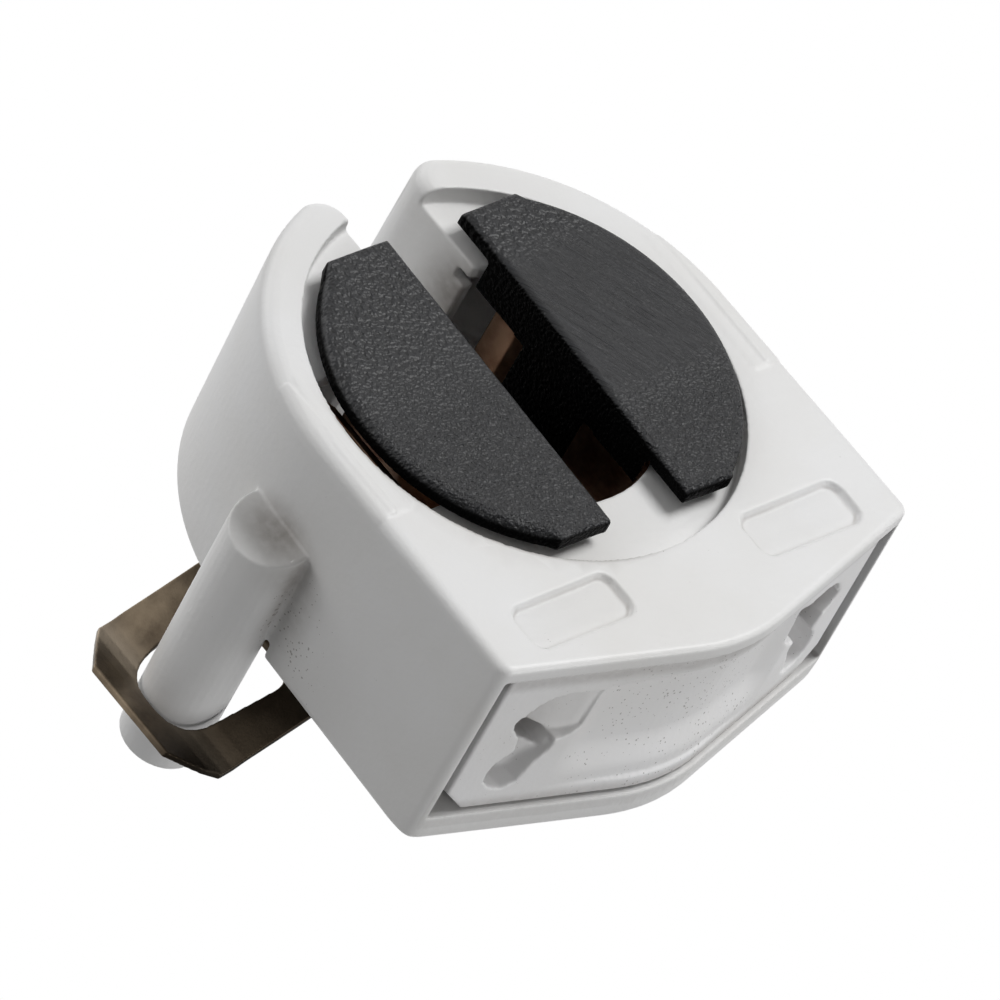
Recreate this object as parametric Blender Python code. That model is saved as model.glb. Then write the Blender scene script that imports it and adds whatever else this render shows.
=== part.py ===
# Fluorescent tube lamp holder for a two-pin lamp cap, modelled in metres.
# X runs to the right of the face, Y from the face to the back, Z up to the slot.
# The origin is on the lamp axis, in the plane of the housing's face.
import math

import bmesh
import bpy
from mathutils import Matrix

MM = 0.001

# rotor disc and the recess that holds it; the shell goes round the recess
ROTOR_R = 6.896 * MM
RECESS_R = ROTOR_R + 0.464 * MM
RIM = 1.41 * MM

# housing shell
DOME_R = RECESS_R + RIM
DOME_Z = -0.04 * MM
CORNER_X = DOME_R + 0.07 * MM
CORNER_Z = -9.24 * MM
CORNER_R = 0.44 * MM
APEX_Z = -11.48 * MM
APEX_R = 7.2 * MM
FACE_ROUND = 0.54 * MM
FACE_ROUND_CORNER = 0.34 * MM
FACE_ROUND_LOW = 0.16 * MM
DEPTH = 8.4 * MM
TAPER = 0.35 * MM
GROOVE_HALF = 1.52 * MM
GROOVE_DEPTH = 0.76 * MM
PLAN_ROUND = 0.36 * MM
BACK_ROUND = 0.28 * MM
FACE_WALL = 0.64 * MM
SIDE_WALL = 0.32 * MM
BACK_WALL = 1.2 * MM

# round recess, its ledge and the hole for the rotor's neck
RECESS_X = -0.096 * MM
RECESS_DEPTH = 0.664 * MM
LEDGE = 0.5 * MM
CUP_WALL = 0.48 * MM
WINDOW_Z = 2.72 * MM
NECK_HOLE_R = 4.68 * MM

# lamp pin slot through the top of the shell
SLOT_X = 0.16 * MM
SLOT_HALF = 1.544 * MM
SLOT_WALL = 0.56 * MM
SLOT_DEPTH = DEPTH - BACK_WALL - 0.32 * MM
SLOT_CORNER_R = 1.0 * MM
SLOT_EDGE = 0.55 * MM

# shallow panels and low lands on the face
PANEL_X = 4.944 * MM
PANEL_Z = -8.144 * MM
PANEL_W = 4.28 * MM
PANEL_H = 1.76 * MM
PANEL_R = 0.48 * MM
PANEL_DEPTH = 0.12 * MM
LAND_WIDE = 0.2 * MM
LAND_Z = 2.816 * MM
LAND_OUT = 0.032 * MM

# pegs on the side walls
PEG_X = CORNER_X + 0.04 * MM
PEG_Z = 0.13 * MM
PEG_Z_END = -0.02 * MM
PEG_R = 1.45 * MM
PEG_R_END = 1.37 * MM
PEG_START = 4.1 * MM
PEG_SLANT = 0.9 * MM
PEG_END = DEPTH + 5.44 * MM
PEG_TIP = 0.2 * MM

# rotor
ROTOR_SHIFT_L = 0.08 * MM
ROTOR_SHIFT_R = 0.224 * MM
FLANGE_BEVEL = 0.24 * MM
FLANGE_BEVEL_L = 0.52 * MM
ROTOR_TURN = -1.5
ROTOR_OUT = 0.384 * MM
FLANGE = 0.576 * MM
ROTOR_FLAT = ROTOR_R - 1.056 * MM
ROTOR_FLAT_LOW = ROTOR_R - 0.856 * MM
ROTOR_SLOT = 1.6 * MM
FLANGE_EDGE = 0.2 * MM
FLANGE_EDGE_L = 0.4 * MM
FLANGE_EDGE_SLOT = 0.1 * MM
FLANGE_EDGE_SLOT_R = 0.2 * MM
NECK_R = 4.52 * MM
NECK_BACK = 1.32 * MM
LUG_R = 4.96 * MM
LUG_HALF = 0.88 * MM
LUG_BACK = 1.46 * MM
HUB_R = 2.4 * MM
HUB_BACK = DEPTH - BACK_WALL - 0.64 * MM

# contact springs
SHEET = 0.28 * MM
CONTACT_FRONT = 1.32 * MM
CONTACT_BACK = DEPTH - BACK_WALL - 2.0 * MM
LEAF_X = CORNER_X - 2.8 * MM
LEAF_TOP = 1.96 * MM
LEAF_LOW = -1.28 * MM
TERMINAL_X = CORNER_X - 2.0 * MM
TERMINAL_LOW = -6.9 * MM
LINK_Z = -5.3 * MM
BLADE_FRONT = 1.56 * MM
BLADE_X = 3.75 * MM
BLADE_TIP_X = 2.64 * MM
BLADE_BEND = 2.4 * MM
BLADE_TOP = 3.36 * MM

# wiring insert slid in from below
INSERT_GAP = 0.12 * MM
INSERT_SINK = 0.16 * MM
INSERT_TOP = -7.2 * MM
INSERT_CHAMFER = 0.8 * MM
ENTRY_IN = 4.3 * MM
ENTRY_OUT = CORNER_X - 1.81 * MM
ENTRY_FRONT = 1.76 * MM
ENTRY_BACK = DEPTH - BACK_WALL - 0.88 * MM
FUNNEL_STEEP = 0.42
BAY_STEEP = 0.65
MIDDLE_HALF = 4.6 * MM
MIDDLE_DEEP = 0.16 * MM

# leaf spring on the pegs
SPRING_T = 0.24 * MM
SPRING_HALF = 3.13 * MM
SPRING_SEAT_X = 4.48 * MM
SPRING_RISE_X = PEG_X + 1.08 * MM
SPRING_RISE_Y = 3.08 * MM
SPRING_TIP_X = PEG_X + 2.5 * MM
SPRING_TIP_Y = 2.8 * MM
SPRING_TIP_HALF = 1.816 * MM
HOLE_HALF = 1.46 * MM
HOLE_HALF_IN = 1.84 * MM
HOLE_IN = PEG_X - 2.4 * MM
HOLE_OUT = PEG_X + 1.46 * MM
GAP = 0.24 * MM


def clear_scene():
    """Empty the file so that only the holder is in it."""
    for ob in list(bpy.data.objects):
        bpy.data.objects.remove(ob, do_unlink=True)


def material(name, colour, rough, metal=0.0):
    """One Principled material for one kind of stuff."""
    mat = bpy.data.materials.new(name)
    mat.use_nodes = True
    shader = mat.node_tree.nodes["Principled BSDF"]
    shader.inputs["Base Color"].default_value = (*colour, 1.0)
    shader.inputs["Roughness"].default_value = rough
    shader.inputs["Metallic"].default_value = metal
    mat.diffuse_color = (*colour, 1.0)
    return mat


def add_object(name, bm, mat=None):
    """Put a finished bmesh into the scene under a name."""
    bmesh.ops.recalc_face_normals(bm, faces=bm.faces)
    mesh = bpy.data.meshes.new(name)
    bm.to_mesh(mesh)
    bm.free()
    ob = bpy.data.objects.new(name, mesh)
    bpy.context.scene.collection.objects.link(ob)
    if mat:
        mesh.materials.append(mat)
    return ob


def loft(name, rings, mat=None):
    """Closed body through rings that all hold the same number of points."""
    bm = bmesh.new()
    rows = [[bm.verts.new(p) for p in ring] for ring in rings]
    count = len(rings[0])
    for low, high in zip(rows, rows[1:]):
        for i in range(count):
            j = (i + 1) % count
            bm.faces.new((low[i], low[j], high[j], high[i]))
    bm.faces.new(rows[0])
    bm.faces.new(rows[-1])
    return add_object(name, bm, mat)


def prism_y(name, outline, y0, y1, mat=None):
    """Outline in X and Z drawn out along Y."""
    return loft(name, [[(x, y, z) for x, z in outline] for y in (y0, y1)], mat)


def prism_x(name, outline, x0, x1, mat=None):
    """Outline in Y and Z drawn out along X."""
    return loft(name, [[(x, y, z) for y, z in outline] for x in (x0, x1)], mat)


def prism_z(name, outline, z0, z1, mat=None):
    """Outline in X and Y drawn out along Z."""
    return loft(name, [[(x, y, z) for x, y in outline] for z in (z0, z1)], mat)


def box(name, x0, x1, y0, y1, z0, z1):
    """Plain block between two corners."""
    return prism_y(name, [(x0, z0), (x1, z0), (x1, z1), (x0, z1)], y0, y1)


def circle(radius, count, cx=0.0, cz=0.0):
    """Points of a full circle in a plane."""
    turn = 2 * math.pi / count
    return [(cx + radius * math.cos(k * turn), cz + radius * math.sin(k * turn))
            for k in range(count)]


def arc(radius, start, stop, count, cx=0.0, cz=0.0):
    """Points of an arc, ends included, angles in radians."""
    step = (stop - start) / (count - 1)
    return [(cx + radius * math.cos(start + k * step), cz + radius * math.sin(start + k * step))
            for k in range(count)]


def rounded(points, radii, count=6):
    """Polygon with each corner turned into an arc of its own radius."""
    out = []
    total = len(points)
    for i, (px, pz) in enumerate(points):
        ax, az = points[i - 1]
        bx, bz = points[(i + 1) % total]
        r = radii[i]
        if r <= 0:
            out.append((px, pz))
            continue
        la = math.hypot(ax - px, az - pz)
        lb = math.hypot(bx - px, bz - pz)
        ux, uz = (ax - px) / la, (az - pz) / la
        vx, vz = (bx - px) / lb, (bz - pz) / lb
        half = 0.5 * math.acos(max(-1.0, min(1.0, ux * vx + uz * vz)))
        run = r / math.tan(half)
        mx, mz = ux + vx, uz + vz
        ml = math.hypot(mx, mz)
        cx = px + mx / ml * r / math.sin(half)
        cz = pz + mz / ml * r / math.sin(half)
        s = math.atan2(pz + uz * run - cz, px + ux * run - cx)
        e = math.atan2(pz + vz * run - cz, px + vx * run - cx)
        if e - s > math.pi:
            e -= 2 * math.pi
        if s - e > math.pi:
            e += 2 * math.pi
        out += arc(r, s, e, count, cx, cz)
    return out


def inset(outline, amount):
    """Outline moved inwards, by one even amount or by one amount per point."""
    out = []
    total = len(outline)
    steps = amount if isinstance(amount, list) else [amount] * total
    for i, (px, pz) in enumerate(outline):
        ax, az = outline[i - 1]
        bx, bz = outline[(i + 1) % total]
        d1x, d1z = px - ax, pz - az
        d2x, d2z = bx - px, bz - pz
        l1 = math.hypot(d1x, d1z)
        l2 = math.hypot(d2x, d2z)
        n1x, n1z = -d1z / l1, d1x / l1
        n2x, n2z = -d2z / l2, d2x / l2
        mx, mz = n1x + n2x, n1z + n2z
        ml = mx * mx + mz * mz
        out.append((px + 2 * steps[i] * mx / ml, pz + 2 * steps[i] * mz / ml))
    return out


def shell_outline(grow=0.0):
    """Face outline: round top, nearly straight sides and a shallow pointed bottom."""
    dx = CORNER_X
    dz = DOME_Z - CORNER_Z
    reach = math.hypot(dx, dz)
    lean = math.atan2(-dz, dx) + math.acos(DOME_R / reach)
    top = arc(DOME_R, lean, math.pi - lean, 73, 0.0, DOME_Z)
    low = rounded([top[-1], (-CORNER_X, CORNER_Z), (0.0, APEX_Z), (CORNER_X, CORNER_Z), top[0]],
                  [0, CORNER_R, APEX_R, CORNER_R, 0], 9)
    outline = top + low[1:-1]
    return inset(outline, -grow) if grow else outline


def cut(target, cutter):
    """Take a hidden cutter away from a body."""
    return combine(target, cutter, "DIFFERENCE")


def join(target, other):
    """Make a hidden body one solid with another."""
    return combine(target, other, "UNION")


def keep(target, other):
    """Keep only what lies inside another body."""
    return combine(target, other, "INTERSECT")


def combine(target, other, how):
    """One live exact boolean."""
    mod = target.modifiers.new(other.name, "BOOLEAN")
    mod.operation = how
    mod.solver = "EXACT"
    mod.object = other
    other.hide_render = True
    other.display_type = "WIRE"
    return target


def narrowed(outline):
    """Outline as it is at the back: the dome and the upper side walls draw in a little."""
    out = []
    for x, z in outline:
        share = min(1.0, max(0.0, 1 - z / CORNER_Z))
        thin = 1 - share * TAPER / DOME_R
        out.append((x * thin, z * thin if z > 0 else z))
    return out


def face_edge(outline):
    """Radius of the face edge at each point: full on dome and sides, small on the bottom edge."""
    edge = []
    for x, z in outline:
        drop = (CORNER_Z + 2 * CORNER_R - z) / (2 * CORNER_R)
        side = FACE_ROUND + (FACE_ROUND_CORNER - FACE_ROUND) * min(1.0, max(0.0, z / (CORNER_Z + CORNER_R)))
        low = min(1.0, max(0.0, (CORNER_X - abs(x)) / CORNER_R)) if drop > 0 else 0.0
        edge.append(side + (FACE_ROUND_LOW - side) * low)
    return edge


def back_share(x, z):
    """Share of the back rounding at a point: all on the dome, none on the side walls."""
    if z > 0:
        return 1.0
    if z > CORNER_Z + 1.5 * CORNER_R:
        return 0.0
    return 0.9 if abs(x) > CORNER_X - 1.5 * CORNER_R else 0.4


def outer_body(mat):
    """Solid outside of the shell with a rounded face edge and rounded back corners."""
    outline = shell_outline()
    edge = face_edge(outline)
    rings = []
    for k in range(5):
        a = math.pi / 2 * k / 4
        ring = inset(outline, [e * (1 - math.cos(a)) for e in edge])
        rings.append([(x, e * (1 - math.sin(a)), z) for (x, z), e in zip(ring, edge)])
    rings.reverse()
    far = narrowed(outline)
    for k in range(3):
        a = math.pi / 2 * k / 2
        y = DEPTH - BACK_ROUND * (1 - math.sin(a))
        share = [back_share(x, z) for x, z in far]
        eased = inset(far, [BACK_ROUND * (1 - math.cos(a)) * part for part in share])
        rings.append([(x, y, z) for x, z in eased])
    return loft("housing_shell", rings, mat)


def plan_cutter():
    """Plan form that rounds the vertical back corners."""
    wide = CORNER_X + 0.016 * MM
    body = rounded([(-wide, -1.6 * MM), (wide, -1.6 * MM), (wide, DEPTH), (-wide, DEPTH)],
                   [0, 0, PLAN_ROUND, PLAN_ROUND], 8)
    return prism_z("plan_form", body, -16.0 * MM, 12.0 * MM)


def back_groove():
    """Groove straight across the back behind the leaf spring."""
    return box("back_groove", -16.0 * MM, 16.0 * MM, DEPTH - GROOVE_DEPTH, DEPTH + MM,
               -GROOVE_HALF, GROOVE_HALF)


def cavity():
    """Hollow for contacts and insert, open at the bottom."""
    wide = CORNER_X - SIDE_WALL
    outline = [(x, z) for x, z in inset(shell_outline(), SIDE_WALL) if z > -0.4 * MM]
    outline += [(-wide, CORNER_Z), (-wide, -16.0 * MM), (wide, -16.0 * MM), (wide, CORNER_Z)]
    rings = [[(x, FACE_WALL, z) for x, z in outline],
             [(x, DEPTH - BACK_WALL, z) for x, z in narrowed(outline)]]
    return loft("cavity", rings)


def cup():
    """Inner wall round the recess and under its ledge."""
    return prism_y("cup", circle(RECESS_R + CUP_WALL, 72, RECESS_X), FACE_WALL / 2, RECESS_DEPTH + LEDGE)


def slot_channel():
    """Two cheeks and a back that shut the pin slot off from the inside."""
    outer = SLOT_HALF + SLOT_WALL
    low, high = RECESS_R - 1.44 * MM, DOME_R - 0.816 * MM
    outline = [(SLOT_X - outer, low), (SLOT_X + outer, low), (SLOT_X + outer, high), (SLOT_X - outer, high)]
    return prism_y("slot_channel", outline, FACE_WALL / 2, DEPTH - BACK_WALL / 2)


def slot_cutter():
    """Pin slot, open at the top, with eased corners at the dome and a rounded edge at the face."""
    left, right = SLOT_X - SLOT_HALF, SLOT_X + SLOT_HALF
    r = SLOT_CORNER_R
    top = DOME_Z + DOME_R + MM
    outline = [(right, 0.0)]
    outline += arc(r, math.pi, 0.44 * math.pi, 9, right + r, ease_height(right + r))
    outline += [(right + 1.3 * r, top), (left - 1.3 * r, top)]
    outline += arc(r, 0.56 * math.pi, 0.0, 9, left - r, ease_height(left - r))
    outline += [(left, 0.0)]
    wide = inset(outline, -SLOT_EDGE)
    rings = [[(x, -MM, z) for x, z in wide]]
    for k in range(5):
        a = math.pi / 8 * k
        ring = inset(outline, -SLOT_EDGE * (1 - math.sin(a)))
        rings.append([(x, SLOT_EDGE * (1 - math.cos(a)), z) for x, z in ring])
    rings.append([(x, SLOT_DEPTH, z) for x, z in outline])
    return loft("pin_slot", rings)


def ease_height(x):
    """Height of the centre of the corner arc that runs into the dome at this place."""
    return DOME_Z + 0.032 * MM + math.sqrt((DOME_R - SLOT_CORNER_R) ** 2 - x * x)


def recess():
    """Round recess for the rotor's flanges."""
    return prism_y("recess", circle(RECESS_R, 96, RECESS_X), -MM, RECESS_DEPTH)


def ledge_window():
    """Opening across the ledge on both sides, where the contacts show."""
    half = math.asin(WINDOW_Z / RECESS_R)
    reach = RECESS_R + 0.024 * MM
    left = arc(reach, math.pi - half, math.pi + half, 16, RECESS_X)
    right = arc(reach, -half, half, 16, RECESS_X)
    return prism_y("ledge_window", left + right, RECESS_DEPTH - 0.048 * MM, RECESS_DEPTH + LEDGE + MM)


def neck_hole():
    """Hole for the rotor's neck."""
    return prism_y("neck_hole", circle(NECK_HOLE_R, 64), 0.16 * MM, RECESS_DEPTH + LEDGE + MM)


def panel(side):
    """Shallow rounded panel on the face, left bare."""
    x0, x1 = side * PANEL_X - PANEL_W / 2, side * PANEL_X + PANEL_W / 2
    z0, z1 = PANEL_Z - PANEL_H / 2, PANEL_Z + PANEL_H / 2
    outline = rounded([(x0, z0), (x1, z0), (x1, z1), (x0, z1)], [PANEL_R] * 4, 5)
    return prism_y("panel_%s" % ("r" if side > 0 else "l"), outline, -MM, PANEL_DEPTH)


def land(side):
    """Low raised strip between recess and side wall."""
    edge = DOME_R - FACE_ROUND
    reach = math.sqrt(edge * edge - LAND_Z * LAND_Z)
    inner = reach - LAND_WIDE
    outline = [(inner, -LAND_Z), (edge, -LAND_Z), (edge, 0.0), (reach, LAND_Z), (inner, LAND_Z)]
    outline = [(side * x, z) for x, z in outline]
    return prism_y("land_%s" % ("r" if side > 0 else "l"), outline, -LAND_OUT, 0.24 * MM)


def peg(side):
    """Round, slightly tapered peg along the side wall with a slanted front and a blunt tip."""
    x = side * PEG_X
    stations = [(PEG_START + 0.32 * MM, PEG_R), (PEG_END - PEG_TIP, PEG_R_END),
                (PEG_END - PEG_TIP / 3, PEG_R_END - PEG_TIP / 3), (PEG_END, PEG_R_END - PEG_TIP)]
    slant = [(px, PEG_START - PEG_SLANT * (0.5 - side * (px - x) / (2 * PEG_R)), pz)
             for px, pz in circle(PEG_R, 32, x, PEG_Z)]
    fall = (PEG_Z_END - PEG_Z) / (PEG_END - PEG_START)
    rings = [slant] + [[(px, y, pz) for px, pz in circle(r, 32, x, PEG_Z + fall * (y - PEG_START))]
                       for y, r in stations]
    return loft("peg_%s" % ("r" if side > 0 else "l"), rings)


def housing(mat):
    """Moulded shell with slot, recess, panels, pegs and spring seat."""
    ob = outer_body(mat)
    keep(ob, plan_cutter())
    cut(ob, back_groove())
    for side in (-1, 1):
        cut(ob, panel(side))
    cut(ob, cavity())
    join(ob, cup())
    join(ob, slot_channel())
    cut(ob, slot_cutter())
    for side in (-1, 1):
        join(ob, land(side))
    cut(ob, recess())
    cut(ob, ledge_window())
    cut(ob, neck_hole())
    for side in (-1, 1):
        join(ob, peg(side))
    return ob


def half_flange(side):
    """One half of the rotor's disc: round outside, straight slot side, cut off ends."""
    shift = ROTOR_SHIFT_R if side > 0 else ROTOR_SHIFT_L
    bevel = FLANGE_BEVEL if side > 0 else FLANGE_BEVEL_L
    top = math.asin((ROTOR_FLAT - bevel) / ROTOR_R)
    low = math.asin((ROTOR_FLAT_LOW - FLANGE_BEVEL) / ROTOR_R)
    ring = arc(ROTOR_R, -low, top, 33, shift)
    inner = ROTOR_SLOT + side * SLOT_X
    outline = ring + [(ring[-1][0] - bevel, ROTOR_FLAT), (inner, ROTOR_FLAT),
                      (inner, -ROTOR_FLAT_LOW), (ring[0][0] - FLANGE_BEVEL, -ROTOR_FLAT_LOW)]
    worn, sharp = (FLANGE_EDGE, FLANGE_EDGE_SLOT_R) if side > 0 else (FLANGE_EDGE_L, FLANGE_EDGE_SLOT)
    edge = [worn] * len(ring) + [FLANGE_EDGE_SLOT, sharp, sharp, FLANGE_EDGE_SLOT]
    outline = [(side * x, z) for x, z in outline]
    if side < 0:
        outline.reverse()
        edge.reverse()
    front = -ROTOR_OUT
    rings = [[(x, front + FLANGE + 0.16 * MM, z) for x, z in outline]]
    for k in range(4):
        a = math.pi / 6 * k
        ring = inset(outline, [e * (1 - math.cos(a)) for e in edge])
        rings.append([(x, front + e * (1 - math.sin(a)), z) for (x, z), e in zip(ring, edge)])
    return loft("flange_%s" % ("r" if side > 0 else "l"), rings)


def rotor(mat):
    """Black rotor that turns with the lamp pins."""
    neck = -ROTOR_OUT + FLANGE
    ob = prism_y("rotor", circle(NECK_R, 64), neck - 0.16 * MM, NECK_BACK, mat)
    for side in (-1, 1):
        flange = half_flange(side)
        wide = 1.5 * ROTOR_R
        trim = box("flange_back_%s" % ("r" if side > 0 else "l"), -wide, wide, neck, neck + 3 * MM,
                   -wide, wide)
        cut(flange, trim)
        join(ob, flange)
    join(ob, prism_y("hub", circle(HUB_R, 40), NECK_BACK - 0.16 * MM, HUB_BACK))
    for side in (-1, 1):
        inner = NECK_R - 1.32 * MM
        lug = [(side * inner, -LUG_HALF), (side * LUG_R, -LUG_HALF), (side * LUG_R, LUG_HALF),
               (side * inner, LUG_HALF)]
        join(ob, prism_y("lug_%s" % ("r" if side > 0 else "l"), lug, NECK_BACK - 0.08 * MM, LUG_BACK))
    wide = 1.5 * ROTOR_R
    cut(ob, box("rotor_slot", SLOT_X - ROTOR_SLOT, SLOT_X + ROTOR_SLOT, -1.6 * MM, HUB_BACK - MM,
                -wide, wide))
    turn_all(ob)
    return ob


def turn_all(ob):
    """Turn the rotor and its hidden helpers a touch about the lamp axis, as it stands."""
    turn = Matrix.Rotation(math.radians(-ROTOR_TURN), 4, "Y")
    helpers = [mod.object for mod in ob.modifiers]
    for part in [ob] + helpers:
        part.data.transform(turn)
        for mod in part.modifiers:
            if mod.object not in helpers:
                mod.object.data.transform(turn)


def strip(path, thick):
    """Closed outline of a bent sheet of even thickness along a path."""
    left = []
    right = []
    last = len(path) - 1
    for i, (x, z) in enumerate(path):
        ax, az = path[max(i - 1, 0)]
        bx, bz = path[min(i + 1, last)]
        l1 = math.hypot(x - ax, z - az) or 1.0
        l2 = math.hypot(bx - x, bz - z) or 1.0
        n1 = (-(z - az) / l1, (x - ax) / l1)
        n2 = (-(bz - z) / l2, (bx - x) / l2)
        if i == 0:
            n1 = n2
        if i == last:
            n2 = n1
        mx, mz = n1[0] + n2[0], n1[1] + n2[1]
        ml = mx * mx + mz * mz
        ox, oz = thick * mx / ml, thick * mz / ml
        left.append((x + ox, z + oz))
        right.append((x - ox, z - oz))
    return left + right[::-1]


def contact(side, mat):
    """Bent bronze sheet: outer leaf and terminal leg, and the blade beside a lamp pin's way."""
    outer = [(TERMINAL_X, TERMINAL_LOW), (TERMINAL_X, -2.7 * MM), (LEAF_X, LEAF_LOW),
             (LEAF_X, LEAF_TOP), (LEAF_X + 0.28 * MM, LEAF_TOP + 0.72 * MM)]
    ob = prism_y("contact_%s" % ("right" if side > 0 else "left"),
                 [(side * x, z) for x, z in strip(outer, SHEET)], CONTACT_FRONT, CONTACT_BACK, mat)
    blade = [(TERMINAL_X, LINK_Z), (BLADE_X, LINK_Z), (BLADE_X, -2.6 * MM), (BLADE_X - 0.1 * MM, 0.0),
             (BLADE_TIP_X, BLADE_BEND), (BLADE_TIP_X, BLADE_TOP)]
    join(ob, prism_y("blade_%s" % ("r" if side > 0 else "l"),
                     [(side * x, z) for x, z in strip(blade, SHEET)], BLADE_FRONT, CONTACT_BACK))
    return ob


def insert_body(mat):
    """White block that closes the bottom and leads the wires in."""
    half = CORNER_X - SIDE_WALL - TAPER - INSERT_GAP
    y0 = FACE_WALL + INSERT_GAP
    y1 = DEPTH - BACK_WALL - INSERT_GAP
    c = INSERT_CHAMFER
    plan = [(-half, y0), (half, y0), (half, y1 - c), (half - c, y1), (-half + c, y1), (-half, y1 - c)]
    ob = prism_z("wiring_insert", plan, -16.0 * MM, INSERT_TOP, mat)
    slope = (CORNER_Z - APEX_Z) / CORNER_X
    low = APEX_Z + INSERT_SINK
    rise = [(-11.2 * MM, low + slope * 11.2 * MM), (0.0, low), (11.2 * MM, low + slope * 11.2 * MM),
            (11.2 * MM, -17.6 * MM), (-11.2 * MM, -17.6 * MM)]
    rise = rounded(rise, [0, APEX_R, 0, 0, 0], 9)
    cut(ob, prism_y("bottom_slope", rise, -4.0 * MM, 16.0 * MM))
    return ob


def bottom(x):
    """Height of the insert's sloping underside at a place across it."""
    return APEX_Z + INSERT_SINK + (CORNER_Z - APEX_Z) / CORNER_X * abs(x)


def pocket(name, side, points, inner, deep, steep):
    """Pocket in the underside whose floor goes deeper away from its inner end."""
    outline = [(side * (ENTRY_OUT + dx * MM), ENTRY_FRONT + dy * MM) for dx, dy in points]
    floor = [(x, y, bottom(x) + deep + steep * (abs(x) - inner)) for x, y in outline]
    return loft(name, [[(x, y, -16.0 * MM) for x, y in outline], floor])


def entry(side):
    """S-shaped wire entry: front funnel over a tongue, back bay, and the way in between them."""
    tag = "r" if side > 0 else "l"
    funnel = [(-2.73, 0.1), (-1.51, 0.0), (-0.9, 0.16), (-0.55, 0.42), (-0.25, 0.86), (-0.45, 1.7),
              (-1.3, 2.4), (-2.1, 2.22), (-2.6, 1.8)]
    bay = [(-1.9, 2.5), (-1.81, 2.82), (-1.49, 3.4), (-1.27, 4.22), (-0.84, 4.54), (-0.39, 4.42),
           (-0.08, 4.1), (-0.02, 3.7), (-0.14, 3.17), (-0.62, 2.62), (-0.95, 2.2), (-1.5, 2.25)]
    way = [(-1.85, 2.34), (-1.77, 2.95), (-0.57, 2.66), (-0.45, 2.05), (-0.12, 1.6), (0.0, 1.27),
           (-0.19, 0.91), (-0.79, 1.63), (-1.22, 1.99), (-1.7, 2.18)]
    return [pocket("funnel_" + tag, side, funnel, ENTRY_IN, 0.1 * MM, FUNNEL_STEEP),
            pocket("bay_" + tag, side, bay, ENTRY_OUT - 1.83 * MM, 0.3 * MM, BAY_STEEP),
            prism_z("way_in_" + tag, [(side * (ENTRY_OUT + dx * MM), ENTRY_FRONT + dy * MM)
                                      for dx, dy in way], -16.0 * MM, INSERT_TOP + MM)]


def middle_hollow():
    """Shallow hollow that follows the sloping underside and runs out at its ends."""
    x = MIDDLE_HALF
    low = APEX_Z + INSERT_SINK
    outline = rounded([(-x, bottom(x)), (0.0, low + MIDDLE_DEEP), (x, bottom(x)), (x, -16.0 * MM),
                       (-x, -16.0 * MM)], [0, APEX_R, 0, 0, 0], 9)
    return prism_y("middle_hollow", outline, FACE_WALL + 0.8 * MM, ENTRY_BACK + 0.2 * MM)


def cup_relief():
    """Room at the insert's front edge for the cup of the recess."""
    ring = circle(RECESS_R + CUP_WALL + INSERT_GAP, 72, RECESS_X)
    return prism_y("cup_relief", ring, 0.0, RECESS_DEPTH + LEDGE + INSERT_GAP)


def insert(mat):
    """Wiring insert with pockets and wire holes."""
    ob = insert_body(mat)
    cut(ob, cup_relief())
    cut(ob, middle_hollow())
    for side in (-1, 1):
        for cutter in entry(side):
            cut(ob, cutter)
    return ob


def spring_path():
    """Middle line of the leaf spring in plan, from left tip to right tip."""
    seat = DEPTH + GAP / 3 + SPRING_T / 2
    half = [(0.0, seat), (SPRING_SEAT_X - 1.6 * MM, seat), (SPRING_SEAT_X - 0.72 * MM, seat + 0.112 * MM),
            (SPRING_SEAT_X, seat + 0.4 * MM)]
    steps = 6
    x0, y0 = half[-1]
    for k in range(1, steps):
        t = k / steps
        x = x0 + (SPRING_RISE_X - x0) * t
        y = y0 + (seat + SPRING_RISE_Y - y0) * (t + 0.03 * math.sin(math.pi * t))
        half.append((x, y))
    half += [(SPRING_RISE_X - 0.5 * MM, seat + SPRING_RISE_Y - 0.16 * MM),
             (SPRING_RISE_X - 0.1 * MM, seat + SPRING_RISE_Y - 0.03 * MM),
             (SPRING_RISE_X + 0.26 * MM, seat + SPRING_RISE_Y),
             (SPRING_RISE_X + 0.64 * MM, seat + SPRING_RISE_Y - 0.07 * MM),
             (SPRING_TIP_X, seat + SPRING_TIP_Y)]
    return [(-x, y) for x, y in half[:0:-1]] + half


def spring(mat):
    """Leaf spring that presses the holder away from its carrier."""
    outline = strip(spring_path(), SPRING_T)
    ob = prism_z("leaf_spring", outline, -SPRING_HALF, SPRING_HALF, mat)
    for side in (-1, 1):
        tag = "r" if side > 0 else "l"
        ring = rounded([(side * HOLE_IN, -HOLE_HALF_IN), (side * HOLE_OUT, -HOLE_HALF),
                        (side * HOLE_OUT, HOLE_HALF), (side * HOLE_IN, HOLE_HALF_IN)],
                       [0.4 * HOLE_HALF, 0.97 * HOLE_HALF, 0.97 * HOLE_HALF, 0.4 * HOLE_HALF], 8)
        near, far = DEPTH - 1.2 * MM, PEG_END + 4 * MM
        cut(ob, prism_y("spring_hole_" + tag, ring, near, far))
        for up in (-1, 1):
            corner = [(side * SPRING_RISE_X, up * SPRING_HALF),
                      (side * (SPRING_TIP_X + 0.32 * MM), up * (SPRING_TIP_HALF - 0.28 * MM)),
                      (side * 1.2 * SPRING_TIP_X, up * SPRING_TIP_HALF),
                      (side * 1.2 * SPRING_TIP_X, up * 1.5 * SPRING_HALF),
                      (side * SPRING_RISE_X, up * 1.5 * SPRING_HALF)]
            cut(ob, prism_y("spring_corner_%s%d" % (tag, up), corner, near, far))
    return ob


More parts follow.
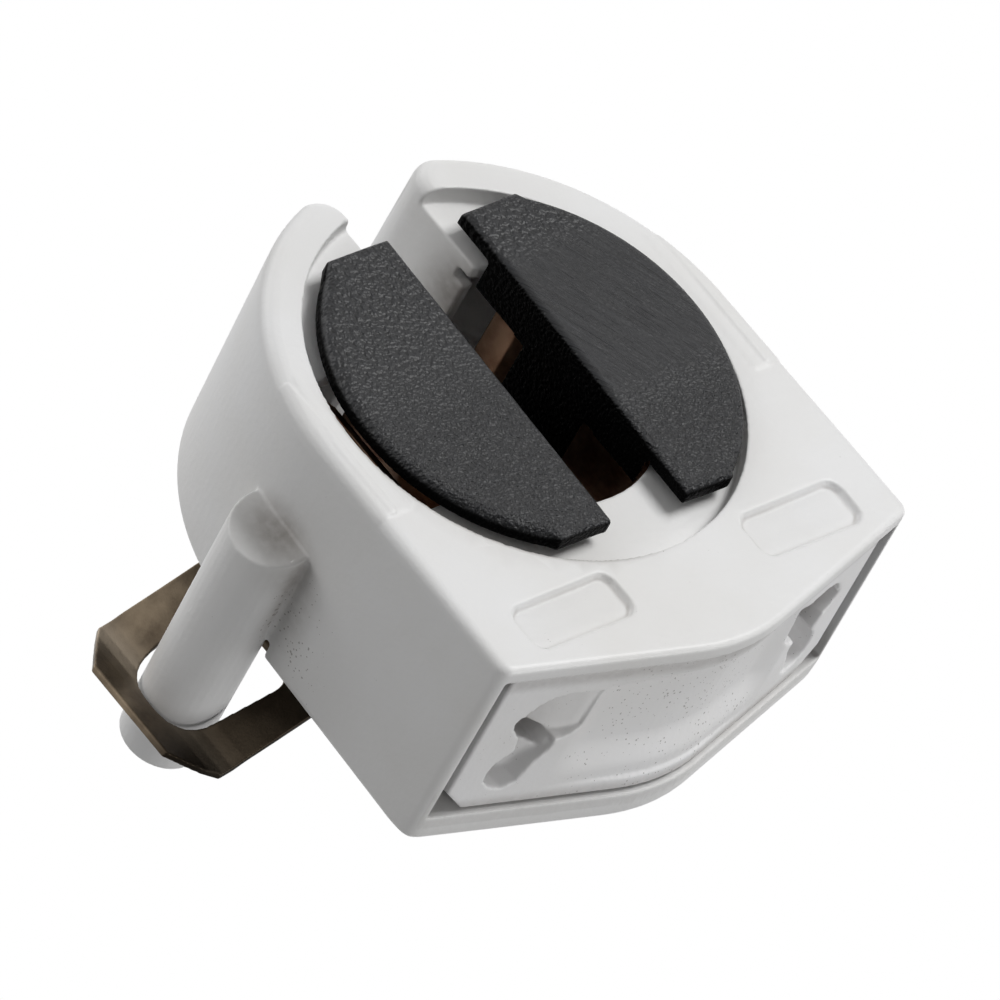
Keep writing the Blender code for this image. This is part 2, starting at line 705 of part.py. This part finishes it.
def build():
    """Every piece of the holder in its own colour."""
    clear_scene()
    white = material("white_moulding", (0.80, 0.79, 0.77), 0.45)
    ivory = material("white_insert", (0.78, 0.77, 0.74), 0.5)
    black = material("black_moulding", (0.02, 0.02, 0.022), 0.6)
    bronze_l = material("contact_bronze_left", (0.55, 0.30, 0.16), 0.3, 1.0)
    bronze_r = material("contact_bronze_right", (0.55, 0.30, 0.16), 0.3, 1.0)
    steel = material("spring_steel", (0.42, 0.40, 0.37), 0.4, 1.0)
    housing(white)
    rotor(black)
    insert(ivory)
    contact(-1, bronze_l)
    contact(1, bronze_r)
    spring(steel)


build()
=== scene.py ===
import math

import bmesh
import bpy
import numpy as np
from mathutils import Matrix, Vector


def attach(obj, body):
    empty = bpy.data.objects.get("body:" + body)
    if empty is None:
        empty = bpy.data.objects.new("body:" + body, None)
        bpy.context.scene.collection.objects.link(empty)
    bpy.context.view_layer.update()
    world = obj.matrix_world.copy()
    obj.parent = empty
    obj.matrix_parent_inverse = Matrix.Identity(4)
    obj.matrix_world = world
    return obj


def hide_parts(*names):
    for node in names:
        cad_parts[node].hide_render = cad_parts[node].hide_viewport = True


# Fluorescent tube lamp holder: white mouldings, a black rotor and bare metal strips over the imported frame
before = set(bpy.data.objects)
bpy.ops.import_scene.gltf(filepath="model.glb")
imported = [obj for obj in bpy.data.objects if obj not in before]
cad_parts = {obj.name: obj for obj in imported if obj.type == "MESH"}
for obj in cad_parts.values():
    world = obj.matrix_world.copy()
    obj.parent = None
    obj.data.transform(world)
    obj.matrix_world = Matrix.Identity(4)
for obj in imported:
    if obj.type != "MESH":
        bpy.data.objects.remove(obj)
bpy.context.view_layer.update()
MM = 0.001

# Places on the holder in mm, as the solids have them: X to the right, Y from the face to the back, Z up
RECESS_X, RECESS_R = -0.096, 7.36
SLOT_X, SLOT_HALF = 0.16, 1.544
CORNER_X, CORNER_Z, DEPTH = 8.84, -9.24, 8.4
# the peg's start, and a height between those of its root and its end
PEG_START, PEG_Z = 4.1, 0.1

# Panels and lands on the face in mm: centre in X and Z on both sides, half width and height, corner radius
PANEL = ((4.944, -8.144), (2.14, 0.88), 0.48)
LAND = ((8.62, 0.0), (0.62, 2.8), 0.1)
PANEL_DEEPER, LAND_PROUD = 0.10, 0.045

# The slot's cheeks run on behind the ledge in two steps, each with its front and foot, clear of the
# rotor's lugs and then of its neck
CHEEK_WALL, CHEEK_TOP, CHEEK_BACK = 0.5, 6.3, 6.8
CHEEK_STEPS = ((1.0, 4.85), (1.6, 4.35))

# A fillet backs the thin wall under each of the slot's rounded outer corners: where it starts and ends
# out from the slot's wall, its front, foot and top
FILLET_IN, FILLET_OUT = 0.45, 1.1
FILLET_FRONT, FILLET_FOOT, FILLET_TOP = 0.6, 7.3, 8.05

# The insert's middle is a soft dish between the wire pockets, and its sides come closer to the walls
DISH_HALF, DISH_FRONT, DISH_BACK, DISH_DEEP = 4.7, 1.3, 6.1, 0.35
INSERT_WIDER = 0.07

# Soil and painted shade, and dust, on the white mouldings lie in soft patches, the same on both sides: centre
# in mm, reach in mm along each axis, and the most, at the centre. The brown patches are painted shade under
# the peg, on the walls of the pin slot and inside the wire pockets, and soil with painted shade at the root
# of the peg
SOIL_AND_SHADE = {
    "root of the peg": ((CORNER_X, PEG_START + 0.2, PEG_Z - 0.2), (1.5, 1.9, 2.1), 0.85),
    "wall under the peg": ((CORNER_X, DEPTH - 2.4, PEG_Z - 1.7), (0.8, 3.2, 1.5), 0.4),
    "walls of the pin slot": ((SLOT_HALF, 2.2, 4.2), (0.7, 2.6, 2.2), 0.75),
    "inside of the wire pockets": ((5.9, 3.6, -8.5), (2.4, 2.8, 1.4), 0.4),
}
DUST = {
    "wall under the peg": ((CORNER_X, DEPTH - 2.4, PEG_Z - 1.9), (0.8, 3.4, 1.8), 0.5),
    "wall lower down, at the back": ((CORNER_X, DEPTH - 1.0, -3.2), (0.5, 2.4, 2.2), 0.4),
}

# Points of a solid nearer than this in metres are merged, and a piece with more triangles than this is
# thinned to that number
MERGE = 1e-7
MOST_TRIANGLES = 185000


# Helpers for colour and nodes

def linear(code):
    """Linear RGBA of an sRGB hex colour."""
    c = np.array([int(code[i:i + 2], 16) for i in (1, 3, 5)]) / 255
    return (*np.where(c <= 0.04045, c / 12.92, ((c + 0.055) / 1.055) ** 2.4), 1.0)


def add(tree, kind, settings=None, links=None):
    """Add one node; settings name its properties or its inputs, links join its inputs to outputs."""
    node = tree.nodes.new(kind)
    for key, value in (settings or {}).items():
        if isinstance(key, str) and key.islower():
            setattr(node, key, value)
        else:
            node.inputs[key].default_value = value
    for key, source in (links or {}).items():
        tree.links.new(source, node.inputs[key])
    return node


def material(name):
    """A node material, its tree, its Principled shader and the Object coordinates."""
    mat = bpy.data.materials.new(name)
    mat.use_nodes = True
    tree = mat.node_tree
    at = add(tree, "ShaderNodeTexCoord").outputs["Object"]
    return mat, tree, tree.nodes["Principled BSDF"], at


def per_mm(size):
    """Noise scale in metres for a grain of this many millimetres."""
    return 1 / (size * MM)


def both_sides(tree, at):
    """The point with its X made positive, so that one place serves the left and the right side."""
    axes = add(tree, "ShaderNodeSeparateXYZ", None, {0: at}).outputs
    across = add(tree, "ShaderNodeMath", {"operation": "ABSOLUTE"}, {0: axes["X"]})
    point = add(tree, "ShaderNodeCombineXYZ", None,
                {"X": across.outputs[0], "Y": axes["Y"], "Z": axes["Z"]})
    return point.outputs[0]


def patch(tree, point, centre, reach, most, under):
    """A soft patch added to the value under it: most at its centre, smoothly down to 0 at a distance of 1,
    where the way along each axis is divided by its reach."""
    away = add(tree, "ShaderNodeVectorMath", {"operation": "SUBTRACT", 1: [v * MM for v in centre]},
               {0: point})
    scaled = add(tree, "ShaderNodeVectorMath", {"operation": "DIVIDE", 1: [v * MM for v in reach]},
                 {0: away.outputs[0]})
    far = add(tree, "ShaderNodeVectorMath", {"operation": "LENGTH"}, {0: scaled.outputs[0]})
    amount = add(tree, "ShaderNodeMapRange",
                 {"interpolation_type": "SMOOTHSTEP", "To Min": most, "To Max": 0.0},
                 {"Value": far.outputs["Value"]})
    total = add(tree, "ShaderNodeMath", {"operation": "ADD"}, {0: amount.outputs["Result"], 1: under})
    return total.outputs[0]


# Finishes

def white_pbt(name, clean, aged, rough):
    """Injection moulded white PBT with the faint orange peel of a spark-textured tool: a soft sheen,
    cloudy ageing, a brown film that is partly soil and mostly painted shade in hollows, seams and corners,
    and clinging dust specks."""
    mat, tree, shader, at = material(name)
    # ageing in clouds of 6 mm
    cloud = add(tree, "ShaderNodeTexNoise", {"Scale": per_mm(6.0), "Detail": 3.0}, {"Vector": at})
    share = add(tree, "ShaderNodeMapRange", {"From Min": 0.35, "From Max": 0.7},
                {"Value": cloud.outputs["Fac"]})
    body = add(tree, "ShaderNodeMix", {"data_type": "RGBA", 6: linear(clean), 7: linear(aged)},
               {0: share.outputs["Result"]})
    # soil and painted shade: a soft brown film broken up by a 0.35 mm noise, as thick as the vertex value and
    # patches say
    side = both_sides(tree, at)
    soil_and_shade_level = add(tree, "ShaderNodeAttribute", {"attribute_name": "soil_and_shade"}).outputs["Fac"]
    for centre, reach, most in SOIL_AND_SHADE.values():
        soil_and_shade_level = patch(tree, side, centre, reach, most, soil_and_shade_level)
    broken = add(tree, "ShaderNodeTexNoise", {"Scale": per_mm(0.35), "Detail": 4.0}, {"Vector": at})
    patchy = add(tree, "ShaderNodeMapRange", {"From Min": 0.3, "From Max": 0.6, "To Min": 0.72},
                 {"Value": broken.outputs["Fac"]})
    film = add(tree, "ShaderNodeMath", {"operation": "MULTIPLY", "use_clamp": True},
               {0: soil_and_shade_level, 1: patchy.outputs["Result"]})
    soiled_and_shaded = add(tree, "ShaderNodeMix", {"data_type": "RGBA", 7: linear("#54432F")},
                 {0: film.outputs[0], 6: body.outputs[2]})
    # dust: cells of 0.17 mm, coarser than real dust so that it shows, each with a speck at its middle
    # that is as large as a 0.9 mm noise, the vertex value and the patches allow
    cells = add(tree, "ShaderNodeTexVoronoi", {"Scale": per_mm(0.17)}, {"Vector": at})
    drift = add(tree, "ShaderNodeTexNoise", {"Scale": per_mm(0.9), "Detail": 5.0, "Roughness": 0.65},
                {"Vector": at})
    dust = add(tree, "ShaderNodeAttribute", {"attribute_name": "dust"}).outputs["Fac"]
    for centre, reach, most in DUST.values():
        dust = patch(tree, side, centre, reach, most, dust)
    level = add(tree, "ShaderNodeMath", {"operation": "ADD"}, {0: drift.outputs["Fac"], 1: dust})
    size = add(tree, "ShaderNodeMapRange",
               {"From Min": 0.62, "From Max": 1.3, "To Min": 0.0, "To Max": 0.5},
               {"Value": level.outputs[0]})
    speck = add(tree, "ShaderNodeMath", {"operation": "LESS_THAN"},
                {0: cells.outputs["Distance"], 1: size.outputs["Result"]})
    faint = add(tree, "ShaderNodeMath", {"operation": "MULTIPLY", 1: 0.5}, {0: speck.outputs[0]})
    colour = add(tree, "ShaderNodeMix", {"data_type": "RGBA", 7: linear("#4E3D2E")},
                 {0: faint.outputs[0], 6: soiled_and_shaded.outputs[2]})
    tree.links.new(colour.outputs[2], shader.inputs["Base Color"])
    # orange peel of 0.25 mm
    peel = add(tree, "ShaderNodeTexNoise", {"Scale": per_mm(0.25), "Detail": 3.0}, {"Vector": at})
    bump = add(tree, "ShaderNodeBump", {"Strength": 1.0, "Distance": 0.012 * MM},
               {"Height": peel.outputs["Fac"]})
    tree.links.new(bump.outputs["Normal"], shader.inputs["Normal"])
    shader.inputs["Roughness"].default_value = rough
    return mat


def black_pbt(name):
    """Glass-filled black PBT from a spark-eroded mould: pebbled grain on the front with painted highlights on
    its tops, worn to fine parallel scratches where lamps were pushed in, and painted shade down the sides, a
    deeper black with less shine."""
    mat, tree, shader, at = material(name)
    # pebbles of 0.19 mm, and of 0.12 mm where the front is rubbed
    coarse = add(tree, "ShaderNodeTexNoise", {"Scale": per_mm(0.19), "Detail": 1.0}, {"Vector": at})
    fine = add(tree, "ShaderNodeTexNoise", {"Scale": per_mm(0.12), "Detail": 1.0}, {"Vector": at})
    wear_and_highlight = add(tree, "ShaderNodeAttribute", {"attribute_name": "wear_and_highlight"})
    pebble = add(tree, "ShaderNodeMix", {"data_type": "FLOAT"},
                 {0: wear_and_highlight.outputs["Fac"], 2: coarse.outputs["Fac"], 3: fine.outputs["Fac"]})
    # scratches: noise of 0.11 mm drawn out 25 times along the slope of the strokes
    laid = add(tree, "ShaderNodeMapping", {"Rotation": (0.0, math.radians(25.5), 0.0)}, {"Vector": at})
    drawn = add(tree, "ShaderNodeMapping", {"Scale": (per_mm(0.11), per_mm(4.0), per_mm(2.8))},
                {"Vector": laid.outputs["Vector"]})
    strokes = add(tree, "ShaderNodeTexNoise", {"Scale": 1.0, "Detail": 4.0},
                  {"Vector": drawn.outputs["Vector"]})
    scratched = add(tree, "ShaderNodeAttribute", {"attribute_name": "scratched"})
    high = add(tree, "ShaderNodeMix", {"data_type": "FLOAT"},
               {0: scratched.outputs["Fac"], 2: pebble.outputs[0], 3: strokes.outputs["Fac"]})
    bump = add(tree, "ShaderNodeBump", {"Strength": 1.0, "Distance": 0.11 * MM},
               {"Height": high.outputs[0]})
    tree.links.new(bump.outputs["Normal"], shader.inputs["Normal"])
    # painted light: on the front the tops of the grain are painted lighter than its pits, and the sides are
    # painted one deeper tone with less shine, as painted shade
    front = add(tree, "ShaderNodeAttribute", {"attribute_name": "front"})
    tone = add(tree, "ShaderNodeMapRange", {"From Min": 0.35, "From Max": 0.65}, {"Value": high.outputs[0]})
    face = add(tree, "ShaderNodeMix", {"data_type": "RGBA", 6: linear("#030305"), 7: linear("#0F1014")},
               {0: tone.outputs["Result"]})
    colour = add(tree, "ShaderNodeMix", {"data_type": "RGBA", 6: linear("#040404")},
                 {0: front.outputs["Fac"], 7: face.outputs[2]})
    tree.links.new(colour.outputs[2], shader.inputs["Base Color"])
    shine = add(tree, "ShaderNodeMapRange", {"To Min": 0.02, "To Max": 0.33}, {"Value": front.outputs["Fac"]})
    tree.links.new(shine.outputs["Result"], shader.inputs["Specular IOR Level"])
    shader.inputs["Roughness"].default_value = 0.4
    return mat


def strip_metal(name, light, dark, worn_and_lit, rough):
    """Rolled strip, stamped and left bare: dull oxide in clouds, a fine rolled grain, brighter where it is
    rubbed and along the spring's crest as a painted highlight, and near black where it is darkened, as
    painted shade on the contacts."""
    mat, tree, shader, at = material(name)
    # oxide in clouds of 1.6 mm
    cloud = add(tree, "ShaderNodeTexNoise", {"Scale": per_mm(1.6), "Detail": 5.0, "Roughness": 0.6},
                {"Vector": at})
    share = add(tree, "ShaderNodeMapRange", {"From Min": 0.35, "From Max": 0.68},
                {"Value": cloud.outputs["Fac"]})
    base = add(tree, "ShaderNodeMix", {"data_type": "RGBA", 6: linear(light), 7: linear(dark)},
               {0: share.outputs["Result"]})
    wear_and_highlight = add(tree, "ShaderNodeAttribute", {"attribute_name": "wear_and_highlight"})
    bright = add(tree, "ShaderNodeMix", {"data_type": "RGBA", 7: linear(worn_and_lit)},
                 {0: wear_and_highlight.outputs["Fac"], 6: base.outputs[2]})
    darkening = add(tree, "ShaderNodeAttribute", {"attribute_name": "darkening"})
    colour = add(tree, "ShaderNodeMix", {"data_type": "RGBA", 7: linear("#1C1712")},
                 {0: darkening.outputs["Fac"], 6: bright.outputs[2]})
    tree.links.new(colour.outputs[2], shader.inputs["Base Color"])
    # rolled grain of 0.1 mm, coarser than the real one so that it shows
    grain = add(tree, "ShaderNodeTexNoise", {"Scale": per_mm(0.1), "Detail": 2.0}, {"Vector": at})
    bump = add(tree, "ShaderNodeBump", {"Strength": 1.0, "Distance": 0.006 * MM},
               {"Height": grain.outputs["Fac"]})
    tree.links.new(bump.outputs["Normal"], shader.inputs["Normal"])
    shader.inputs["Metallic"].default_value = 1.0
    shader.inputs["Roughness"].default_value = rough
    return mat


white = white_pbt("moulded_pbt_white", "#EBEBEB", "#E5E4E2", 0.42)
ivory = white_pbt("moulded_pbt_insert", "#F1F1F2", "#EBEAE9", 0.5)
black = black_pbt("spark_eroded_pbt_black")
steel = strip_metal("oxidised_spring_steel", "#7A6D5C", "#4C4237", "#94897A", 0.42)
bronze = strip_metal("stamped_tin_bronze", "#C9A083", "#7A4A32", "#D9B79A", 0.34)


# Helpers for meshes

def vertex_rows(mesh, name):
    """Three numbers for each vertex: its place, which is called co, or its normal."""
    rows = np.empty(len(mesh.vertices) * 3, np.float32)
    mesh.vertices.foreach_get(name, rows)
    return rows.reshape(-1, 3)


def points_mm(mesh):
    """Vertex places in mm."""
    return vertex_rows(mesh, "co") / MM


def place_points(mesh, points):
    """Write vertex places given in mm."""
    mesh.vertices.foreach_set("co", (points * MM).astype(np.float32).ravel())
    mesh.update()


def attribute(mesh, name, values):
    """Store one value per vertex for the material."""
    layer = mesh.attributes.new(name, "FLOAT", "POINT")
    layer.data.foreach_set("value", np.clip(values, 0, 1).astype(np.float32))


def band(values, low, high):
    """0 below low, 1 above high, and smooth between, as three times the square less twice the cube."""
    t = np.clip((values - low) / (high - low), 0, 1)
    return t * t * (3 - 2 * t)


def outside_plate(x, z, centre, half, corner):
    """Distance in mm outside a rounded rectangle on the face, negative inside: the distance from the
    smaller rectangle between the corners' centres, less the corner radius."""
    dx = np.abs(np.abs(x) - centre[0]) - half[0] + corner
    dz = np.abs(z - centre[1]) - half[1] + corner
    return np.hypot(np.maximum(dx, 0), np.maximum(dz, 0)) + np.minimum(np.maximum(dx, dz), 0) - corner


def edge_ends(mesh):
    """The vertices at the two ends of every edge, as two arrays."""
    edges = np.empty(len(mesh.edges) * 2, np.int32)
    mesh.edges.foreach_get("vertices", edges)
    return edges.reshape(-1, 2).T


def neighbour_count(a, b, vertices):
    """How many neighbours each vertex has over the edges from a to b, at least 1, as a column."""
    return np.maximum(1, np.bincount(a, minlength=vertices) + np.bincount(b, minlength=vertices))[:, None]


def neighbour_sum(rows, a, b):
    """The sum of each vertex's neighbours over the edges from a to b, column by column."""
    return np.stack([np.bincount(a, rows[b, k], len(rows)) + np.bincount(b, rows[a, k], len(rows))
                     for k in range(3)], 1)


def hollowness(mesh, rounds):
    """How far in mm each vertex lies in a hollow: the way along its normal to the mean of its own place
    and its neighbours', taken round after round."""
    points = points_mm(mesh)
    a, b = edge_ends(mesh)
    count = neighbour_count(a, b, len(points))
    mean = points.copy()
    for _ in range(rounds):
        mean = (mean + neighbour_sum(mean, a, b)) / (1 + count)
    return ((mean - points) * vertex_rows(mesh, "normal")).sum(1)


def eased(mesh, points, share, rounds):
    """The points moved by half their share of the way to the mean of their neighbours, round after round."""
    a, b = edge_ends(mesh)
    near = (share[a] > 0) | (share[b] > 0)
    a, b = a[near], b[near]
    count = neighbour_count(a, b, len(points))
    for _ in range(rounds):
        points = points + 0.5 * share[:, None] * (neighbour_sum(points, a, b) / count - points)
    return points


def settled(ob):
    """The piece's mesh with its modifiers worked in."""
    bpy.context.view_layer.update()
    graph = bpy.context.evaluated_depsgraph_get()
    mesh = bpy.data.meshes.new_from_object(ob.evaluated_get(graph))
    ob.modifiers.clear()
    ob.data = mesh
    return mesh


def skinned(node, name, voxel, rounds, blocks=(), shaped=None):
    """The CAD form with eased edges, as a mould leaves them: an even skin of voxels in mm, smoothed for
    some rounds, then thinned. The skin takes in the blocks, low and high corners in mm, with the form,
    and shaped is a last change to the eased points."""
    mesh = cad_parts[node].data.copy()
    bm = bmesh.new()
    bm.from_mesh(mesh)
    bmesh.ops.remove_doubles(bm, verts=bm.verts, dist=MERGE)
    for low, high in blocks:
        size = (np.array(high) - low) * MM
        middle = (np.array(high) + low) / 2 * MM
        bmesh.ops.create_cube(bm, size=1.0, matrix=Matrix.Translation(middle) @ Matrix.Diagonal((*size, 1.0)))
    bm.to_mesh(mesh)
    bm.free()
    ob = bpy.data.objects.new(name, mesh)
    bpy.context.scene.collection.objects.link(ob)
    skin = ob.modifiers.new("skin", "REMESH")
    skin.mode = "VOXEL"
    skin.voxel_size = voxel * MM
    ease = ob.modifiers.new("ease", "SMOOTH")
    ease.factor = 0.5
    ease.iterations = rounds
    mesh = settled(ob)
    if shaped:
        place_points(mesh, shaped(mesh, points_mm(mesh)))
    triangles = len(mesh.loops) - 2 * len(mesh.polygons)
    if triangles > MOST_TRIANGLES:
        thin = ob.modifiers.new("thin", "DECIMATE")
        thin.ratio = MOST_TRIANGLES / triangles
        mesh = settled(ob)
    mesh.polygons.foreach_set("use_smooth", np.ones(len(mesh.polygons), bool))
    return ob


def dress(ob, mat, node, body="housing"):
    """Give a finished piece its material and its body, and hide the CAD node it stands for."""
    ob.data.materials.clear()
    ob.data.materials.append(mat)
    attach(ob, body)
    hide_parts(node)


# Housing shell

def slot_block(side, near, far, front, foot, top):
    """Corners of a block beside the slot, from near to far out of the slot's wall on that side."""
    wall = SLOT_X + side * SLOT_HALF
    low, high = sorted((wall + side * near, wall + side * far))
    return (low, front, foot), (high, CHEEK_BACK, top)


def slot_blocks():
    """The cheeks behind the ledge and the fillets that back the slot's outer corners."""
    blocks = []
    for side in (-1, 1):
        for front, foot in CHEEK_STEPS:
            blocks.append(slot_block(side, 0, CHEEK_WALL, front, foot, CHEEK_TOP))
        blocks.append(slot_block(side, FILLET_IN, FILLET_OUT, FILLET_FRONT, FILLET_FOOT, FILLET_TOP))
    return blocks


def shell_shape(mesh, points):
    """On the face the panels go deeper and the lands stand proud, each with a soft edge by the distance
    outside its rounded rectangle, and the lower edge of the back is eased to a rounder one."""
    x, y, z = points.T
    on_face = band(0.5 - y, 0, 0.2)
    sunk = band(-outside_plate(x, z, *PANEL), -0.08, 0.16)
    proud = band(-outside_plate(x, z, *LAND), -0.06, 0.06)
    points[:, 1] += on_face * (PANEL_DEEPER * sunk - LAND_PROUD * proud)
    lower_back = band(y, DEPTH - 1.1, DEPTH - 0.5) * band(-z, 8.2, 9.2)
    return eased(mesh, points, lower_back, 60)


shell = skinned("housing_shell", "shell_moulding", voxel=0.06, rounds=6, blocks=slot_blocks(),
                shaped=shell_shape)
x, y, z = points_mm(shell.data).T
# soil and painted shade in the hollows, and painted shade along the lower left of the recess's rim and in the
# seam low on the back, where the insert meets the shell
deep = band(hollowness(shell.data, 12), 0.03, 0.12)
lower_left = band(-x * 0.8 - z * 0.6, 3.5, 6.5)
rim = np.exp(-((np.hypot(x - RECESS_X, z) - RECESS_R) / 0.12) ** 2) * (y < 0.8) * lower_left
seam = (z < CORNER_Z + 1.2) * (y > DEPTH - 2.6) * (y < DEPTH - 0.7) * (np.abs(x) < CORNER_X - 0.15)
attribute(shell.data, "soil_and_shade", 0.35 * deep + 0.5 * rim + 0.12 * seam)
attribute(shell.data, "dust", 0.03 + 0.06 * (y < 0.3) * (z < -5))
dress(shell, white, "housing_shell")


# Rotor

rotor = skinned("rotor", "rotor_moulding", voxel=0.055, rounds=4)
x, y, z = points_mm(rotor.data).T
# the front faces take the painted highlights of the grain and the shine, and the rest the painted shade of
# the sides
front = band(-vertex_rows(rotor.data, "normal")[:, 1], 0.25, 0.85) * (y < 0.2)
attribute(rotor.data, "front", front)
# lamps have rubbed the left flange more and more toward its foot and the right one below z 4.4, and
# the strokes on the right one run from z -3.4 to 4.6
attribute(rotor.data, "wear_and_highlight", np.where(x < 0, band(3.5 - z, 0, 5.0), band(4.4 - z, 0, 1.5)))
attribute(rotor.data, "scratched", 0.92 * front * (x > 0) * band(4.6 - z, 0, 1.6) * band(z + 3.4, 0, 2.0))
dress(rotor, black, "rotor", "rotor")


# Wiring insert

def insert_shape(mesh, points):
    """Below, the sides come closer to the walls, and the middle between the wire pockets is hollowed in
    a soft dish."""
    x, y, z = points.T
    below = band(-z, 8.0, 8.6)
    dish = band(DISH_HALF - np.abs(x), 0, 1.2) * band(y, DISH_FRONT, 2.2) * band(DISH_BACK - y, 0, 1.4)
    points[:, 0] += np.sign(x) * INSERT_WIDER * band(np.abs(x), 8.0, 8.2) * below
    points[:, 2] += DISH_DEEP * dish * below
    return points


insert = skinned("wiring_insert", "insert_moulding", voxel=0.055, rounds=5, shaped=insert_shape)
x, y, _ = points_mm(insert.data).T
# soil and painted shade in the hollows, painted shade toward the front and back edges where the insert meets
# the shell, and dust in the middle
deep = band(hollowness(insert.data, 10), 0.02, 0.12)
attribute(insert.data, "soil_and_shade", 0.45 * deep + 0.3 * band(np.abs(y - 4.0), 2.55, 2.95))
attribute(insert.data, "dust", 0.16 + 0.14 * band(5.0 - np.abs(x), 0, 2.5))
dress(insert, ivory, "wiring_insert")


# Leaf spring

spring = skinned("leaf_spring", "spring_strip", voxel=0.04, rounds=3)
x, _, z = points_mm(spring.data).T
# a painted highlight along the crest of each arm, and darker toward the lower edge
attribute(spring.data, "wear_and_highlight", 0.7 * np.exp(-((np.abs(x) - 10.0) / 0.5) ** 2))
attribute(spring.data, "darkening", 0.75 * band(-z, 0.2, 2.0))
dress(spring, steel, "leaf_spring")


# Contacts

for side in ("left", "right"):
    leaf = skinned("contact_" + side, "contact_strip_" + side, voxel=0.06, rounds=2)
    z = points_mm(leaf.data)[:, 2]
    # bright at the middle height, where the pins wipe, and painted shade toward the top, deep in the slot
    attribute(leaf.data, "wear_and_highlight", 0.4 * band(-np.abs(z), -1.5, 0.0))
    attribute(leaf.data, "darkening", 0.75 * band(z, 1.8, 3.4))
    dress(leaf, bronze, "contact_" + side)


# Camera: the photograph's view, through a long lens from 1.4 m. It is given by the lens's place in
# metres and by the view's own directions to the right, down and ahead
VIEW_PLACE = (-0.901980, -0.952890, -0.476800)
VIEW_RIGHT = (0.708668, -0.369017, -0.601346)
VIEW_DOWN = (-0.286240, 0.628649, -0.723096)
VIEW_AHEAD = (0.644870, 0.684563, 0.339876)
SENSOR_MM, LENS_MM = 36.0, 1635.05

data = bpy.data.cameras.new("camera")
data.sensor_width = SENSOR_MM
data.lens = LENS_MM
data.clip_start, data.clip_end = 0.001, 100.0
camera = bpy.data.objects.new("camera", data)
bpy.context.scene.collection.objects.link(camera)
rows = [(r, -d, -a, p) for r, d, a, p in zip(VIEW_RIGHT, VIEW_DOWN, VIEW_AHEAD, VIEW_PLACE)]
camera.matrix_world = Matrix(rows + [(0, 0, 0, 1)])
bpy.context.scene.camera = camera


# Lamps: square soft lights aimed at the holder, by place and side in metres and power in watts
LAMPS = {
    "front_right": ((0.12, -0.24, -0.02), 0.12, 0.5055),
    "front_left": ((-0.14, -0.22, -0.06), 0.14, 0.0369),
    "top": ((-0.04, -0.06, 0.24), 0.16, 0.1625),
    "top_left": ((-0.18, -0.04, 0.17), 0.14, 0.1419),
    "under": ((0.02, 0.0, -0.26), 0.16, 0.3026),
}
for name, (place, size, power) in LAMPS.items():
    lamp = bpy.data.lights.new(name, "AREA")
    lamp.size = size
    lamp.energy = power
    softbox = bpy.data.objects.new(name, lamp)
    softbox.location = place
    softbox.rotation_euler = Vector(place).to_track_quat("Z", "Y").to_euler()
    bpy.context.scene.collection.objects.link(softbox)


# Room: a low even light on the holder, and plain white where the camera or a reflection sees it
ROOM_LEVEL = 0.109

world = bpy.data.worlds.new("studio")
bpy.context.scene.world = world
world.use_nodes = True
tree = world.node_tree
tree.nodes.clear()
path = add(tree, "ShaderNodeLightPath").outputs
seen = add(tree, "ShaderNodeMath", {"operation": "MAXIMUM"},
           {0: path["Is Camera Ray"], 1: path["Is Glossy Ray"]})
seen = add(tree, "ShaderNodeMath", {"operation": "MAXIMUM"},
           {0: seen.outputs[0], 1: path["Is Transmission Ray"]})
room = add(tree, "ShaderNodeBackground", {"Color": (1, 1, 1, 1), "Strength": ROOM_LEVEL})
clear = add(tree, "ShaderNodeBackground", {"Color": (1, 1, 1, 1), "Strength": 1.0})
mix = add(tree, "ShaderNodeMixShader", None, {0: seen.outputs[0], 1: room.outputs[0], 2: clear.outputs[0]})
add(tree, "ShaderNodeOutputWorld", None, {"Surface": mix.outputs[0]})


# Floor: pale paper well below the holder, by half its side and its height in metres
FLOOR_HALF, FLOOR_Z = 4, -0.9

corners = [(i * FLOOR_HALF, j * FLOOR_HALF, FLOOR_Z) for i, j in ((-1, -1), (1, -1), (1, 1), (-1, 1))]
ground = bpy.data.meshes.new("floor")
ground.from_pydata(corners, [], [(0, 1, 2, 3)])
floor = bpy.data.objects.new("floor", ground)
bpy.context.scene.collection.objects.link(floor)
paper, tree, shader, at = material("pale_floor_paper")
shader.inputs["Base Color"].default_value = linear("#F4F4F4")
shader.inputs["Roughness"].default_value = 0.9
ground.materials.append(paper)

bpy.context.scene.view_settings.view_transform = "Standard"
